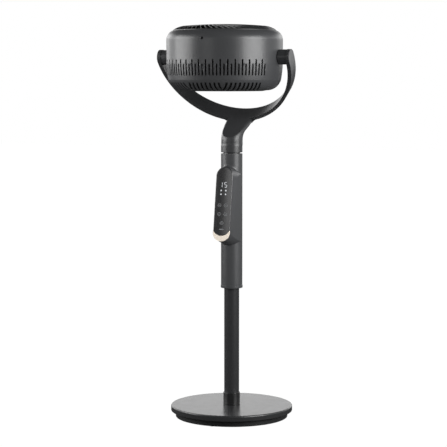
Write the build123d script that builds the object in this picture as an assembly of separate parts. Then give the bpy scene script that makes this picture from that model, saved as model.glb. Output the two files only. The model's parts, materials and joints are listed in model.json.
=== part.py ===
from build123d import *
import math
import os

# Free-standing air circulator fan: round base, pole, column with a touch console,
# leaning neck with a U yoke, and a drum head that is drawn facing straight up.
# Millimetres, +Z up, front at -Y. The origin is the centre of the base on the floor.

# Base
foot_radius = 9.0
foot_proud = 2.0
foot_recess = 1.0
foot_circle = 122.0
foot_count = 6
foot_edge_round = 0.6
centre_foot_radius = 14.0
plinth_radius = 138.5
plinth_height = 15.0
plinth_floor = 4.0
plinth_wall = 3.0
plinth_flange = 2.5
base_radius = 150.0
base_rim_height = 14.0
base_wall = 3.0
base_top_round = 3.0
base_bottom_round = 1.5
weight_radius = 128.0
weight_height = 9.0
base_boss_radius = 5.0
base_screw_circle = 100.0
base_screw_count = 6
screw_shank = 2.0
screw_head = 3.6
screw_head_height = 2.0
screw_head_room = 0.5
bolt_radius = 4.0
bolt_head_radius = 7.5
bolt_head_height = 2.4
hub_boss_radius = 24.0

# Pole
pole_radius = 18.5
pole_wall = 1.5
pole_top = 380.0
collar_radius = 20.7
collar_height = 30.5
collar_round = 2.0
slip_gap = 0.1

# Column
column_radius = 26.3
column_wall = 2.5
column_bottom = 322.5
end_ring_height = 7.5
end_ring_flare = 0.7
column_top = 653.0
insert_height = 48.0
inlet_height = 402.0
inlet_radius = 5.5
inlet_flange = 7.5
inlet_depth = 9.0
inlet_flange_thick = 1.2
jack_bore = 2.75

# Console on the column's front
console_width = 43.0
console_length = 181.0
console_lean = 8.8
console_front = 58.5
console_mid_height = 532.5
console_wall = 2.5
console_draft = 0.15
console_reach = 75.0
console_blend = 6.0
blend_start = 14.0
lens_thick = 3.0
lens_round = 1.2
accent_depth = 5.0
accent_arc = 24.4
accent_rise = 13.5
board_gap = 4.5
board_thick = 1.6
board_width = 30.0
board_length = 140.0
mark_thick = 0.8
key_ring_radius = 4.4
lens_crown_radius = 250.0

# Pan joint at the top of the column
pan_gap = 3.0
spigot_radius = 20.5
spigot_bore = 14.0
spigot_in_neck = 10.0
bush_height = 15.0
bush_lip = 3.0
bush_lip_radius = 17.0
running_gap = 0.05
stem_radius = 9.0
stem_bore = 6.5
stem_drop = 15.0
gear_module = 0.6
pan_gear_teeth = 42
pinion_teeth = 14
gear_height = 6.0
gear_backlash = 0.14
motor_plate_thick = 2.5
motor_radius = 14.0
motor_height = 18.5
motor_shaft_radius = 2.5
motor_shaft_offset = 8.0

# Neck and yoke
neck_facet_half_offset = 4.9
limb_angle = 30.5
limb_sections = 9
limb_bend_round = 7.5
limb_flare = 6.5
limb_flare_below = 6.0
limb_flare_length = 36.0
limb_over_reach = 34.0
neck_bore = 16.0
wing_reach = 56.0
wing_drop = 8.0
pivot_forward = 46.0
pivot_height = 887.0
yoke_inner_half_span = 162.0
yoke_inner_drop = 178.6
yoke_thickness = 9.0
yoke_skin = 2.5
yoke_lip = 3.0
yoke_lean = 42.0
yoke_tip_radius = 18.7
yoke_front_middle = 23.75
yoke_front_foot = 31.5
yoke_rear_middle = 15.95
yoke_rear_foot = 21.0
yoke_side_length = 218.0
yoke_edge_round = 1.0

# Hubs between the yoke and the head
hub_radius = 18.0
hub_head_gap = 0.7
bush_outer = 10.0
journal_radius = 8.0
journal_flange = 15.0
journal_flange_thick = 3.0
hub_end_wall = 2.2
motor_end_gap = 0.8

# Head, heights are measured from the tilt axis
drum_radius = 140.5
drum_bottom_radius = 136.2
drum_wall = 2.5
drum_parting = -54.0
drum_taper_end = -14.0
shoulder_start = 41.0
shoulder_radius = 24.8
rim_radius = 125.0
rim_height = 64.0
rim_lip = 2.5
rear_mid_radius = 127.0
rear_mid_height = -69.6
rear_flat_edge = 103.0
rear_edge_height = -79.4
rear_height = -81.2
rear_flat_radius = 92.0
slot_pitch = 3.6
slot_width = 4.0
slot_low = -44.0
slot_tall_top = -5.7
slot_short_top = -16.2
slot_side_count = 18
corner_slot_pitch = 4.5
corner_slot_width = 5.0
corner_slot_top = -60.5
corner_slot_inner = 99.0
corner_centre_count = 4
corner_side_first = 5
corner_side_last = 13
corner_side_angle = 42.75
intake_rings = 5
intake_inner = 42.0
intake_pitch = 11.0
intake_slot = 6.0
intake_spokes = 8
filter_gap = 1.0
filter_thick = 3.0
filter_top = -3.5
filter_post_room = 7.5
duct_radius = 118.0
duct_wall = 2.5
duct_low = -2.0
duct_top = 58.0
duct_flange_height = 30.0
spider_arms = 6
spider_arm_width = 9.0
spider_thick = 6.0
grille_dome_height = 79.0
grille_crown_radius = 102.0
grille_crown_edge = 74.4
grille_edge_height = 64.9
grille_edge_bulge = 1.3
grille_depth = 9.0
grille_ribs = 54
grille_rib_width = 2.0
grille_rim_gap = 1.1
grille_twist = 26.0
grille_ring_width = 3.5
grille_mid_ring = 78.0
grille_mid_width = 2.0
grille_cap_radius = 34.0
grille_cap_thick = 3.0
lock_hole_height = 43.6
lock_hole_radius = 3.2

# Impeller and its motor
blade_count = 7
blade_tip = 113.0
blade_root_chord = 46.0
blade_tip_chord = 62.0
blade_root_angle = 42.0
blade_tip_angle = 24.0
blade_root_thick = 3.0
blade_tip_thick = 2.0
impeller_mid = 30.0
impeller_hub_radius = 36.0
impeller_hub_wall = 2.5
impeller_hub_low = 12.0
impeller_hub_top = 48.0
shaft_radius = 4.0
shaft_low = -8.0
shaft_top = 55.0
bearing_radius = 11.0
bearing_height = 7.0
bearing_tube_wall = 2.5
stator_radius = 26.0
stator_height = 14.0
stator_slots = 12
rotor_radius = 30.5
rotor_wall = 3.0
nut_radius = 9.0
nut_height = 7.0

# Worked out from the sizes above
plinth_bottom = foot_proud
base_bottom = plinth_bottom + plinth_height
base_top = base_bottom + base_rim_height
cavity_radius = base_radius - base_wall
column_inner = column_radius - column_wall
neck_bottom = column_top + pan_gap
end_ring_top = column_bottom + end_ring_height
gear_centres = gear_module * (pan_gear_teeth + pinion_teeth) / 2
pivot = Vector(0, -pivot_forward, pivot_height)
yoke_inner_face = yoke_inner_half_span
yoke_outer_face = yoke_inner_half_span + yoke_thickness
hub_start = drum_radius + hub_head_gap
boss_face = drum_radius - drum_wall - 4.0
rear_post_angles = (159.75, 200.25)
grille_edge = rim_radius - grille_rim_gap


def rod(radius, bottom, top, x=0.0, y=0.0):
    return Pos(x, y, bottom) * Cylinder(radius, top - bottom, align=(Align.CENTER, Align.CENTER, Align.MIN))


def ring(outer, inner, bottom, top, x=0.0, y=0.0):
    return rod(outer, bottom, top, x, y) - rod(inner, bottom - 1, top + 1, x, y)


def around(count, radius, start=0.0):
    return [
        (radius * math.cos(math.radians(start + 360 * i / count)),
         radius * math.sin(math.radians(start + 360 * i / count)))
        for i in range(count)
    ]


def x_rod(radius, start, end):
    length = abs(end - start)
    return Pos((start + end) / 2, -pivot_forward, pivot_height) * Rot(0, 90, 0) * Cylinder(radius, length)


def joined(shapes):
    total = shapes[0]
    for shape in shapes[1:]:
        total = total + shape
    return total


def save(name, shape):
    export_step(shape, "parts/" + name + ".step")


def group(shapes):
    return Compound(children=[s for shape in shapes for s in shape.solids()])


def foot_places():
    return around(foot_count, foot_circle, 30)


def base_screw_places():
    return around(base_screw_count, base_screw_circle, 0)


def make_base():
    feet = [rod(foot_radius, 0, foot_proud + foot_recess, x, y) for x, y in foot_places()]
    centre = rod(centre_foot_radius, 0, foot_proud)
    centre = centre + rod(bolt_head_radius + 1, 0, plinth_bottom + screw_head_room - slip_gap)
    feet = [fillet(f.edges().group_by(Axis.Z)[0], foot_edge_round) for f in feet + [centre]]
    save("base_feet", group(feet))

    floor_top = plinth_bottom + plinth_floor
    plinth = rod(plinth_radius, plinth_bottom, base_bottom)
    plinth = fillet(plinth.edges().group_by(Axis.Z)[0], base_bottom_round)
    plinth = plinth + rod(cavity_radius - slip_gap, base_bottom, base_bottom + plinth_flange)
    plinth = plinth - rod(plinth_radius - plinth_wall, floor_top, base_top)
    head_top = plinth_bottom + screw_head_height + screw_head_room
    for x, y in base_screw_places():
        plinth = plinth - rod(screw_head + slip_gap, 0, head_top, x, y)
        plinth = plinth - rod(screw_shank + slip_gap, 0, floor_top + 1, x, y)
    for x, y in foot_places():
        plinth = plinth - rod(foot_radius, 0, plinth_bottom + foot_recess, x, y)
    bolt_top = plinth_bottom + bolt_head_height + screw_head_room
    plinth = plinth - rod(bolt_head_radius + 1, 0, bolt_top)
    plinth = plinth - rod(bolt_radius + slip_gap, 0, floor_top + 1)
    save("base_plinth", plinth)

    weight_top = floor_top + weight_height
    weight = ring(weight_radius, bolt_radius + 1, floor_top, weight_top)
    for x, y in base_screw_places():
        weight = weight - rod(base_boss_radius + 1, floor_top - 1, weight_top + 1, x, y)
    weight = chamfer(weight.edges().group_by(Axis.Z)[-1].sort_by(SortBy.LENGTH)[-1], 1.5)
    save("base_weight", weight)

    disc = rod(base_radius, base_bottom, base_top)
    disc = fillet(disc.edges().group_by(Axis.Z)[-1], base_top_round)
    disc = fillet(disc.edges().group_by(Axis.Z)[0], base_bottom_round)
    disc = disc - rod(cavity_radius, base_bottom - 1, base_top - base_wall)
    disc = disc + rod(hub_boss_radius, weight_top, base_top - base_wall)
    for x, y in base_screw_places():
        disc = disc + rod(base_boss_radius, floor_top, base_top - base_wall, x, y)
        disc = disc - rod(screw_shank, floor_top - 1, base_top - base_wall - 2, x, y)
    disc = disc - rod(bolt_radius + slip_gap, weight_top - 1, base_top + 1)
    save("base_disc", disc)

    screws = []
    for x, y in base_screw_places():
        low = plinth_bottom + screw_head_room
        head = rod(screw_head, low, low + screw_head_height, x, y)
        shank = rod(screw_shank, low + screw_head_height, base_top - base_wall - 3, x, y)
        drive = Pos(x, y, low) * extrude(RegularPolygon(1.6, 6), 1.2)
        screws.append(head + shank - drive)
    save("base_screws", group(screws))

    low = plinth_bottom + screw_head_room
    hexagon = Pos(0, 0, low) * extrude(RegularPolygon(bolt_head_radius, 6), bolt_head_height)
    bolt = hexagon + rod(bolt_radius, low + bolt_head_height, base_top + collar_height - 4)
    save("pole_bolt", bolt)


def make_pole():
    collar = ring(collar_radius, pole_radius + slip_gap, base_top, base_top + collar_height)
    collar = fillet(collar.edges().group_by(Axis.Z)[-1].sort_by(SortBy.LENGTH)[-1], collar_round / 2)
    collar = fillet(collar.edges().group_by(Axis.Z)[0].sort_by(SortBy.LENGTH)[-1], collar_round / 4)
    save("pole_collar", collar)
    foot = ring(pole_radius - pole_wall, bolt_radius, base_top, base_top + collar_height)
    foot = foot - ring(pole_radius, pole_radius - pole_wall - 3, base_top + 12, base_top + collar_height - 8)
    save("pole_foot", foot)
    save("pole_tube", ring(pole_radius, pole_radius - pole_wall, base_top, pole_top))


def panel_plane(depth=0.0):
    lean = math.radians(console_lean)
    normal = Vector(0, -math.cos(lean), math.sin(lean))
    origin = Vector(0, -console_front, console_mid_height) - normal * depth
    return Plane(origin=origin, x_dir=(1, 0, 0), z_dir=normal)


def capsule(width, length):
    return SlotOverall(length, width, rotation=90)


def capsule_block(inset, front, depth):
    # A capsule prism that widens towards the column, from one depth behind the face to another
    def outline(at):
        grow = 2 * (console_draft * (at - lens_thick) - inset)
        return panel_plane(at) * capsule(console_width + grow, console_length + grow)
    return loft([outline(front), outline(depth)], ruled=True)


def console_wedge(inset):
    # Side walls that run from the console's edges to touch the column on both sides
    radius = column_radius - inset
    far = Vector(console_width / 2 - inset, -(console_front + 14))
    reach = math.hypot(far.X, far.Y)
    turn = math.atan2(far.Y, far.X) + math.acos(radius / reach)
    touch = (radius * math.cos(turn), radius * math.sin(turn))
    outline = Polyline(
        (touch[0], touch[1]), (far.X, far.Y), (far.X * 0.9, far.Y - 30),
        (-far.X * 0.9, far.Y - 30), (-far.X, far.Y), (-touch[0], touch[1]), close=True)
    low = console_mid_height - console_length
    return Pos(0, 0, low) * extrude(make_face(outline), 2 * console_length)


def make_column():
    skirt = rod(column_radius + end_ring_flare, column_bottom, end_ring_top)
    skirt = fillet(skirt.edges().group_by(Axis.Z)[0], end_ring_flare)
    skirt = chamfer(skirt.edges().group_by(Axis.Z)[-1], end_ring_flare)
    skirt = skirt - rod(pole_radius + slip_gap, column_bottom - 1, end_ring_top + 1)
    save("column_end_ring", skirt)

    insert = ring(column_inner, pole_radius, end_ring_top, end_ring_top + insert_height)
    save("column_insert", insert)

    console = capsule_block(0, lens_thick, console_reach) & console_wedge(0)
    column = rod(column_radius, end_ring_top, column_top)
    top = console_mid_height + console_length / 2
    ahead = Pos(0, -blend_start, 0) * Box(200, 200, 4000, align=(Align.CENTER, Align.MAX, Align.CENTER))
    front = (column & ahead) + (console & ahead)
    arch = front.edges().filter_by(GeomType.BSPLINE).filter_by(lambda e: abs(e.center().Z - top) < 20)
    outside = column + console + fillet(arch, console_blend)
    inside = rod(column_inner, end_ring_top - 1, column_top + 1)
    hollow = capsule_block(console_wall, 0, console_reach) & console_wedge(console_wall)
    hollow = hollow - rod(column_radius * 3, console_mid_height + 94, column_top)
    shell = outside - inside - hollow
    pocket = panel_plane(accent_depth) * extrude(accent_face(slip_gap), accent_depth + 5)
    shell = shell - pocket
    jack = Pos(0, column_radius, inlet_height) * Rot(-90, 0, 0) * Cylinder(inlet_radius, 3 * column_wall)
    shell = shell - jack
    save("column_shell", shell)

    barrel = Rot(-90, 0, 0) * Cylinder(inlet_radius, inlet_depth, align=(Align.CENTER, Align.CENTER, Align.MAX))
    flange = Rot(-90, 0, 0) * Cylinder(inlet_flange, 3, align=(Align.CENTER, Align.CENTER, Align.MAX))
    bore = Rot(-90, 0, 0) * Cylinder(jack_bore, inlet_depth - 1.5, align=(Align.CENTER, Align.CENTER, Align.MAX))
    face = column_radius + inlet_flange_thick
    outer = Pos(0, face, inlet_height) * flange - rod(column_radius, inlet_height - 20, inlet_height + 20)
    inlet = outer + Pos(0, face, inlet_height) * barrel
    inlet = inlet - Pos(0, face, inlet_height) * bore
    save("dc_inlet", inlet)


def accent_face(grow=0.0):
    # Crescent at the capsule's lower end, above it a flatter arc
    outer = capsule(console_width + 2 * grow, console_length + 2 * grow)
    low = -console_length / 2
    arc_centre = low + accent_rise + accent_arc
    return outer - Pos(0, arc_centre) * Circle(accent_arc - grow) - Pos(0, arc_centre) * Rectangle(
        console_width * 2, console_length * 2, align=(Align.CENTER, Align.MIN))


def make_console():
    low = -console_length / 2
    arc_centre = low + accent_rise + accent_arc
    arc_disc = Pos(0, arc_centre) * Circle(accent_arc - slip_gap)
    upper = Pos(0, arc_centre) * Rectangle(console_width * 2, console_length * 2, align=(Align.CENTER, Align.MIN))
    lens_face = capsule(console_width, console_length) & (arc_disc + upper)
    lens = panel_plane(lens_thick) * extrude(lens_face, lens_thick)
    lens = lens & lens_crown(0)
    front = lens.faces().sort_by(lambda f: f.center().dot(panel_plane().z_dir))[-1]
    lens = fillet(front.edges(), lens_round)
    cap = panel_plane(accent_depth) * extrude(accent_face(), accent_depth)
    marks = panel_marks()
    lens = lens - joined(marks)
    save("panel_lens", lens)
    save("accent_cap", cap)
    save("display_marks", group(marks))

    frame = Rectangle(board_width, 44) - Rectangle(board_width - 4, 18)
    light_guide = panel_plane(lens_thick + board_gap) * extrude(Pos(0, 36) * frame, board_gap)
    save("light_guide", light_guide)
    board_depth = lens_thick + board_gap + board_thick
    board = panel_plane(board_depth) * extrude(Pos(0, 4) * Rectangle(board_width, board_length), board_thick)
    save("control_board", board)
    pads = []
    for x, y in touch_places():
        pads.append(panel_plane(lens_thick + board_gap) * extrude(Pos(x, y) * Circle(3.2), board_gap))
    save("touch_springs", group(pads))
    posts = []
    for y in (-58, 66):
        post = Pos(0, y) * Rectangle(board_width - 10, 5)
        posts.append(panel_plane(board_depth + 9) * extrude(post, 9))
    save("board_posts", group(posts))


def lens_crown(inset):
    # A long cylinder whose nearest line lies along the middle of the console's face
    crown = Rot(90, 0, 0) * Cylinder(lens_crown_radius - inset, 2 * console_length)
    return panel_plane(lens_crown_radius) * crown


def touch_places():
    return [(-8.0, -2.9), (8.0, -2.9), (-8.0, -24.2), (8.0, -24.2), (0.0, -46.0)]


def bar(x, y, width, height):
    return Pos(x, y) * Rectangle(width, height)


def panel_marks():
    # Two seven-segment digits, four status dots, four key rings, a power ring and a plain light bar
    faces = []
    digit_y = 47.0
    half = 6.0
    for y in (digit_y + half / 2, digit_y - half / 2):
        faces.append(bar(-4.0, y, 1.3, half - 1))
        faces.append(bar(2.2 if y > digit_y else 7.6, y, 1.3, half - 1))
    for y in (digit_y + half, digit_y, digit_y - half):
        faces.append(bar(4.9, y, 4.0, 1.3))
    for x in (-6.0, 6.0):
        for y in (24.0, 33.0):
            faces.append(Pos(x, y) * Circle(1.9))
    for x, y in touch_places():
        faces.append(Pos(x, y) * (Circle(key_ring_radius) - Circle(key_ring_radius - 0.9)))
    for x, y in touch_places()[:4]:
        faces.append(Pos(x, y) * Circle(1.1))
    faces.append(bar(0, touch_places()[4][1], 1.0, 3.2))
    faces.append(bar(0, -61.2, 11.0, 2.4))
    sheets = [panel_plane(lens_thick - 1) * extrude(face, lens_thick) for face in faces]
    skin = lens_crown(0) - lens_crown(mark_thick)
    return [sheet & skin for sheet in sheets]


def gear_face(teeth, turn):
    pitch = teeth * gear_module / 2
    base = pitch * math.cos(math.radians(20))
    outer = pitch + 0.85 * gear_module
    root = pitch - 1.15 * gear_module

    def roll(radius):
        if radius <= base:
            return 0.0
        angle = math.acos(base / radius)
        return math.tan(angle) - angle

    half = math.pi / (2 * teeth) - gear_backlash / (2 * pitch) + roll(pitch)
    radii = [root, (max(root, base) + pitch) / 2, pitch, outer]
    points = []
    for tooth in range(teeth):
        centre = turn + 2 * math.pi * tooth / teeth
        for radius in radii:
            points.append((radius, centre - half + roll(radius)))
        for radius in reversed(radii):
            points.append((radius, centre + half - roll(radius)))
    flat = [(r * math.cos(a), r * math.sin(a)) for r, a in points]
    return make_face(Polyline(*flat, close=True))


def make_pan_drive():
    bush_low = column_top - bush_height
    bush = ring(column_inner, spigot_radius + running_gap, bush_low + bush_lip, column_top)
    bush = bush + ring(column_inner, bush_lip_radius, bush_low, bush_low + bush_lip)
    save("pan_bush", bush)

    seat = bush_low + bush_lip + running_gap
    spigot = rod(spigot_radius, seat, neck_bottom + spigot_in_neck)
    spigot = spigot + rod(bush_lip_radius - running_gap, bush_low - 3, seat)
    spigot = spigot + rod(stem_radius, bush_low - stem_drop, bush_low)
    spigot = spigot - rod(spigot_bore, bush_low, neck_bottom + spigot_in_neck + 1)
    spigot = spigot - rod(stem_bore, bush_low - stem_drop - 1, neck_bottom)
    save("pan_spigot", spigot)
    clip_low = bush_low - 3
    clip = ring(bush_lip_radius + 3, bush_lip_radius - running_gap, clip_low, clip_low + 2.5)
    save("spigot_clip", clip)

    gear_low = bush_low - 6 - gear_height
    gear_turn = math.pi / pan_gear_teeth
    gear = Pos(0, 0, gear_low) * extrude(gear_face(pan_gear_teeth, gear_turn), gear_height)
    gear = gear - rod(stem_radius, gear_low - 1, gear_low + gear_height + 1)
    save("pan_gear", gear)

    pinion = Pos(0, gear_centres, gear_low) * extrude(gear_face(pinion_teeth, 0.0), gear_height)
    shaft_low_end = gear_low - 1 - motor_plate_thick - 8
    pinion = pinion + rod(motor_shaft_radius, shaft_low_end, gear_low, 0, gear_centres)
    save("pan_pinion", pinion)

    plate_top = gear_low - 1
    plate_low = plate_top - motor_plate_thick
    plate = rod(column_inner, plate_low, plate_top)
    plate = plate - rod(motor_shaft_radius + 1, plate_low - 1, plate_top + 1, 0, gear_centres)
    plate = plate - rod(stem_radius + running_gap, plate_low - 1, plate_top + 1)
    for x in (-17.5, 17.5):
        plate = plate - rod(1.5, plate_low - 1, plate_top + 1, x, gear_centres - motor_shaft_offset)
    save("motor_plate", plate)

    centre = gear_centres - motor_shaft_offset
    motor = rod(motor_radius, plate_low - motor_height, plate_low, 0, centre)
    motor = fillet(motor.edges().group_by(Axis.Z)[0], 1.0)
    ears = Pos(0, centre, plate_low - 1) * extrude(SlotCenterToCenter(35, 7), 1)
    motor = motor + ears
    for x in (-17.5, 17.5):
        motor = motor - rod(1.5, plate_low - 2, plate_low + 1, x, centre)
    motor = motor - rod(motor_shaft_radius + running_gap, shaft_low_end - 0.5, plate_low + 1, 0, gear_centres)
    save("pan_motor", motor)
    screws = []
    for x in (-17.5, 17.5):
        screws.append(rod(1.5, plate_low - 1, plate_top, x, centre) + rod(2.7, plate_low - 2.6, plate_low - 1, x, centre))
    save("pan_motor_screws", group(screws))


def limb_plane():
    # Looks along the limb: local x is +X and local y drops away from the tilt axis
    angle = math.radians(limb_angle)
    return Plane(origin=pivot, x_dir=(1, 0, 0), z_dir=(0, -math.cos(angle), -math.sin(angle)))


def limb_point(x, drop):
    return (x, -drop)


def along_limb(sketch, back, forward):
    # Sweeps a section along the limb, from behind the tilt axis to in front of it
    body = extrude(sketch, forward + back)
    return limb_plane() * (Pos(0, 0, -back) * body)


def u_face(offset_in, offset_out):
    def arch(offset):
        span = yoke_inner_half_span + offset
        drop = yoke_inner_drop + offset
        lower = Ellipse(span, drop) & (Pos(0, -drop) * Rectangle(4 * span, 2 * drop))
        return lower + Pos(0, 40) * Rectangle(2 * span, 80)
    return arch(offset_out) - arch(offset_in) - Pos(0, 90) * Rectangle(2 * yoke_inner_half_span + 2 * offset_in, 200)


def side_face(inset):
    # The yoke seen from its side: a long leaning blade with a round tip at the tilt axis
    lean = math.radians(yoke_lean)
    down = Vector(math.sin(lean), -math.cos(lean))
    back = Vector(math.cos(lean), math.sin(lean))

    def at(along, across):
        return down * along + back * across

    tip = yoke_tip_radius - inset
    front_end = at(yoke_side_length, -yoke_front_foot + inset)
    rear_end = at(yoke_side_length, yoke_rear_foot - inset)
    half = yoke_side_length / 2
    outline = (
        ThreePointArc(at(0, -tip), at(half, -yoke_front_middle + inset), front_end)
        + Line(front_end, rear_end)
        + ThreePointArc(rear_end, at(half, yoke_rear_middle - inset), at(0, tip))
        + ThreePointArc(at(0, tip), at(-tip, 0), at(0, -tip))
    )
    return make_face(outline)


def side_block(face, half_width):
    # The side plane has local x along +Y and local y along +Z
    side = Plane(origin=pivot, x_dir=(0, 1, 0), z_dir=(1, 0, 0))
    return side * (Pos(0, 0, -half_width) * extrude(face, 2 * half_width))


def band(offset_in, offset_out, inset):
    return along_limb(u_face(offset_in, offset_out), 190, 130) & side_block(side_face(inset), 200)


def make_yoke():
    half = yoke_thickness / 2
    inner = band(0, half, 0)
    pocket = band(yoke_skin, half + 1, yoke_lip)
    inner = inner - pocket
    hubs = x_rod(hub_radius, hub_start, yoke_inner_face + yoke_skin)
    hubs = hubs + x_rod(hub_radius, -hub_start, -(yoke_inner_face + yoke_skin))
    inner = inner + hubs
    inner = inner - x_rod(motor_radius + slip_gap, hub_start + hub_end_wall, yoke_outer_face)
    inner = inner - x_rod(journal_radius + running_gap, hub_start - 1, yoke_outer_face)
    inner = inner - x_rod(bush_outer, -hub_start + 1, -(yoke_inner_face + half))
    save("yoke_inner_shell", inner)

    outer = band(half, yoke_thickness, 0)
    outer = outer - band(half - 1, yoke_thickness - yoke_skin, yoke_lip)
    save("yoke_outer_shell", outer)

    bush = x_rod(bush_outer, -hub_start, -(yoke_inner_face + yoke_skin))
    bush = bush - x_rod(journal_radius + running_gap, -hub_start + 1, -yoke_outer_face)
    save("tilt_bush", bush)
    motor_end = yoke_outer_face - yoke_skin - motor_end_gap
    motor = x_rod(motor_radius, hub_start + hub_end_wall, motor_end)
    motor = motor - x_rod(motor_shaft_radius + running_gap, hub_start, hub_start + hub_end_wall + 10)
    save("tilt_motor", motor)


def limb_body(bend):
    # Level sections of the neck: circles on the column's axis that lean back and widen towards the yoke
    slope = 1 / math.tan(math.radians(limb_angle))
    top = pivot_height - yoke_inner_drop * math.cos(math.radians(limb_angle)) + limb_over_reach
    heights = [neck_bottom + spigot_in_neck + 6 + (top - neck_bottom - spigot_in_neck - 6) * i / limb_sections
               for i in range(limb_sections + 1)]
    sections = []
    for height in heights:
        above = height - bend
        shift = slope / 2 * (above + math.sqrt(above**2 + limb_bend_round**2))
        if height == heights[0]:
            shift = 0.0
        share = min(max((above + limb_flare_below) / limb_flare_length, 0), 1)
        widen = limb_flare * share * share * (3 - 2 * share)
        level = Plane(origin=(0, shift, height), x_dir=(1, 0, 0), z_dir=(0, 0, 1))
        sections.append(level * Ellipse(column_radius + widen, column_radius))
    return loft(sections)


def wing_section():
    # Fairing between the limb's sides and the underside of the yoke
    drop = yoke_inner_drop + yoke_thickness

    def under(x):
        return drop * math.sqrt(1 - (x / yoke_outer_face)**2)

    def wing(side):
        start = column_radius + limb_flare - 3
        low = (side * start, -(under(start) + wing_drop))
        tip = (side * wing_reach, -under(wing_reach))
        root = (side * (start - 5), -under(start - 5) + 2)
        bend = (side * (start + 8), -(under(start + 8) + 1.6))
        top = (side * wing_reach, -under(wing_reach) + 2)
        return make_face(ThreePointArc(low, bend, tip) + Polyline(tip, top, root, low))
    return wing(1) + wing(-1)


def make_neck():
    angle = math.radians(limb_angle)
    facet_at_axis = pivot_height - (yoke_inner_drop - pivot_forward * math.sin(angle)) / math.cos(angle)
    bend = facet_at_axis - neck_facet_half_offset / math.cos(angle)
    inside_yoke = Ellipse(yoke_inner_half_span, yoke_inner_drop)
    facet_cut = along_limb(inside_yoke, 190, 200)
    limb = limb_body(bend)
    post = rod(column_radius, neck_bottom, limb.bounding_box().min.Z)
    limb = limb & side_block(neck_side_face(), 100)
    wings = along_limb(wing_section(), 190, 130) & side_block(side_face(0), 200)
    neck = post + limb + wings
    neck = neck - facet_cut - band(-2, yoke_thickness, 0)
    neck = neck - rod(spigot_radius, neck_bottom - 1, neck_bottom + spigot_in_neck)
    neck = neck - rod(neck_bore, neck_bottom, bend - 14)
    save("neck", neck)


def neck_side_face():
    # Everything in front of the yoke's rear edge, seen from the side
    lean = math.radians(yoke_lean)
    down = Vector(math.sin(lean), -math.cos(lean))
    back = Vector(math.cos(lean), math.sin(lean))
    rear_top = back * yoke_tip_radius
    rear_mid = down * (yoke_side_length / 2) + back * yoke_rear_middle
    rear_end = down * yoke_side_length + back * yoke_rear_foot
    front_low = Vector(-100, -260)
    outline = ThreePointArc(rear_top, rear_mid, rear_end) + Polyline(
        rear_end, Vector(rear_end.X, -260), front_low, Vector(-100, rear_top.Y), rear_top)
    return make_face(outline)


def head(shape):
    return Pos(0, -pivot_forward, pivot_height) * shape


def drum_outline(inset):
    start = Vector(drum_bottom_radius - inset, drum_parting)
    full = Vector(drum_radius - inset, drum_taper_end)
    mid = Vector((start.X + full.X) / 2 + 0.7, (start.Y + full.Y) / 2)
    shoulder = Vector(drum_radius - inset, shoulder_start)
    centre = Vector(drum_radius - shoulder_radius, shoulder_start)
    turn = math.asin((rim_height - shoulder_start) / shoulder_radius)
    radius = shoulder_radius - inset
    arc_mid = centre + Vector(math.cos(turn / 2), math.sin(turn / 2)) * radius
    arc_end = centre + Vector(math.cos(turn), math.sin(turn)) * radius
    return start, mid, full, shoulder, arc_mid, arc_end


def drum_wall_face():
    a, b, c, d, e, f = drum_outline(0)
    p, q, r, s, t, u = drum_outline(drum_wall)
    outline = (
        ThreePointArc(a, b, c) + Line(c, d) + ThreePointArc(d, e, f)
        + Line(f, u) + ThreePointArc(u, t, s) + Line(s, r) + ThreePointArc(r, q, p) + Line(p, a)
    )
    return make_face(outline)


def spun(face):
    return revolve(Plane.XZ * face, Axis.Z)


def slot_angles():
    front = range(-slot_side_count, slot_side_count + 1)
    return [(i, turn + i * slot_pitch) for turn in (0, 180) for i in front]


def side_slots():
    cutters = []
    for index, angle in slot_angles():
        top = slot_tall_top if index % 2 else slot_short_top
        length = top - slot_low
        slot = extrude(SlotOverall(length, slot_width, rotation=90), 40)
        slot = Pos(0, -drum_radius - 10, (top + slot_low) / 2) * Rot(90, 0, 0) * Pos(0, 0, -40) * slot
        cutters.append(Rot(0, 0, angle) * slot)
    return Compound(children=cutters)


def make_drum():
    shell = spun(drum_wall_face())
    bosses = []
    for side in (-1, 1):
        post = Pos(side * (boss_face + 3), 0, 0) * Rot(0, 90, 0) * Cylinder(journal_flange + 3, 6)
        bosses.append(post & rod(drum_radius - 1, -40, 40))
    shell = shell + bosses[0] + bosses[1]
    hole = Rot(0, 90, 0) * Cylinder(journal_radius, 4 * drum_radius)
    shell = shell - hole
    shell = shell - side_slots()
    lock = Pos(0, -drum_radius, lock_hole_height) * Rot(90, 0, 0) * Cylinder(lock_hole_radius, 12)
    shell = shell - lock
    for angle in rear_post_angles:
        post = Rot(0, 0, angle) * (rod(6, drum_parting, drum_parting + 24, 0, -rear_post_circle()))
        shell = shell + (post & rod(drum_bottom_radius - 1, drum_parting, 0))
        shell = shell - Rot(0, 0, angle) * rod(screw_shank, drum_parting - 1, drum_parting + 18, 0, -rear_post_circle())
    save("drum_shell", head(shell))


def rear_post_circle():
    return rear_mid_radius + 1.5


def rear_outline(inset):
    start = Vector(drum_bottom_radius - inset, drum_parting)
    mid = Vector(rear_mid_radius - 0.75 * inset, rear_mid_height + 0.7 * inset)
    edge = Vector(rear_flat_edge - 0.2 * inset, rear_edge_height + inset)
    flat = Vector(rear_flat_radius, rear_height + inset)
    return start, mid, edge, flat


def rear_solid_face(inset):
    start, mid, edge, flat = rear_outline(inset)
    axis_low = Vector(0, flat.Y)
    axis_high = Vector(0, start.Y)
    return make_face(ThreePointArc(start, mid, edge) + Polyline(edge, flat, axis_low, axis_high, start))


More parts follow.
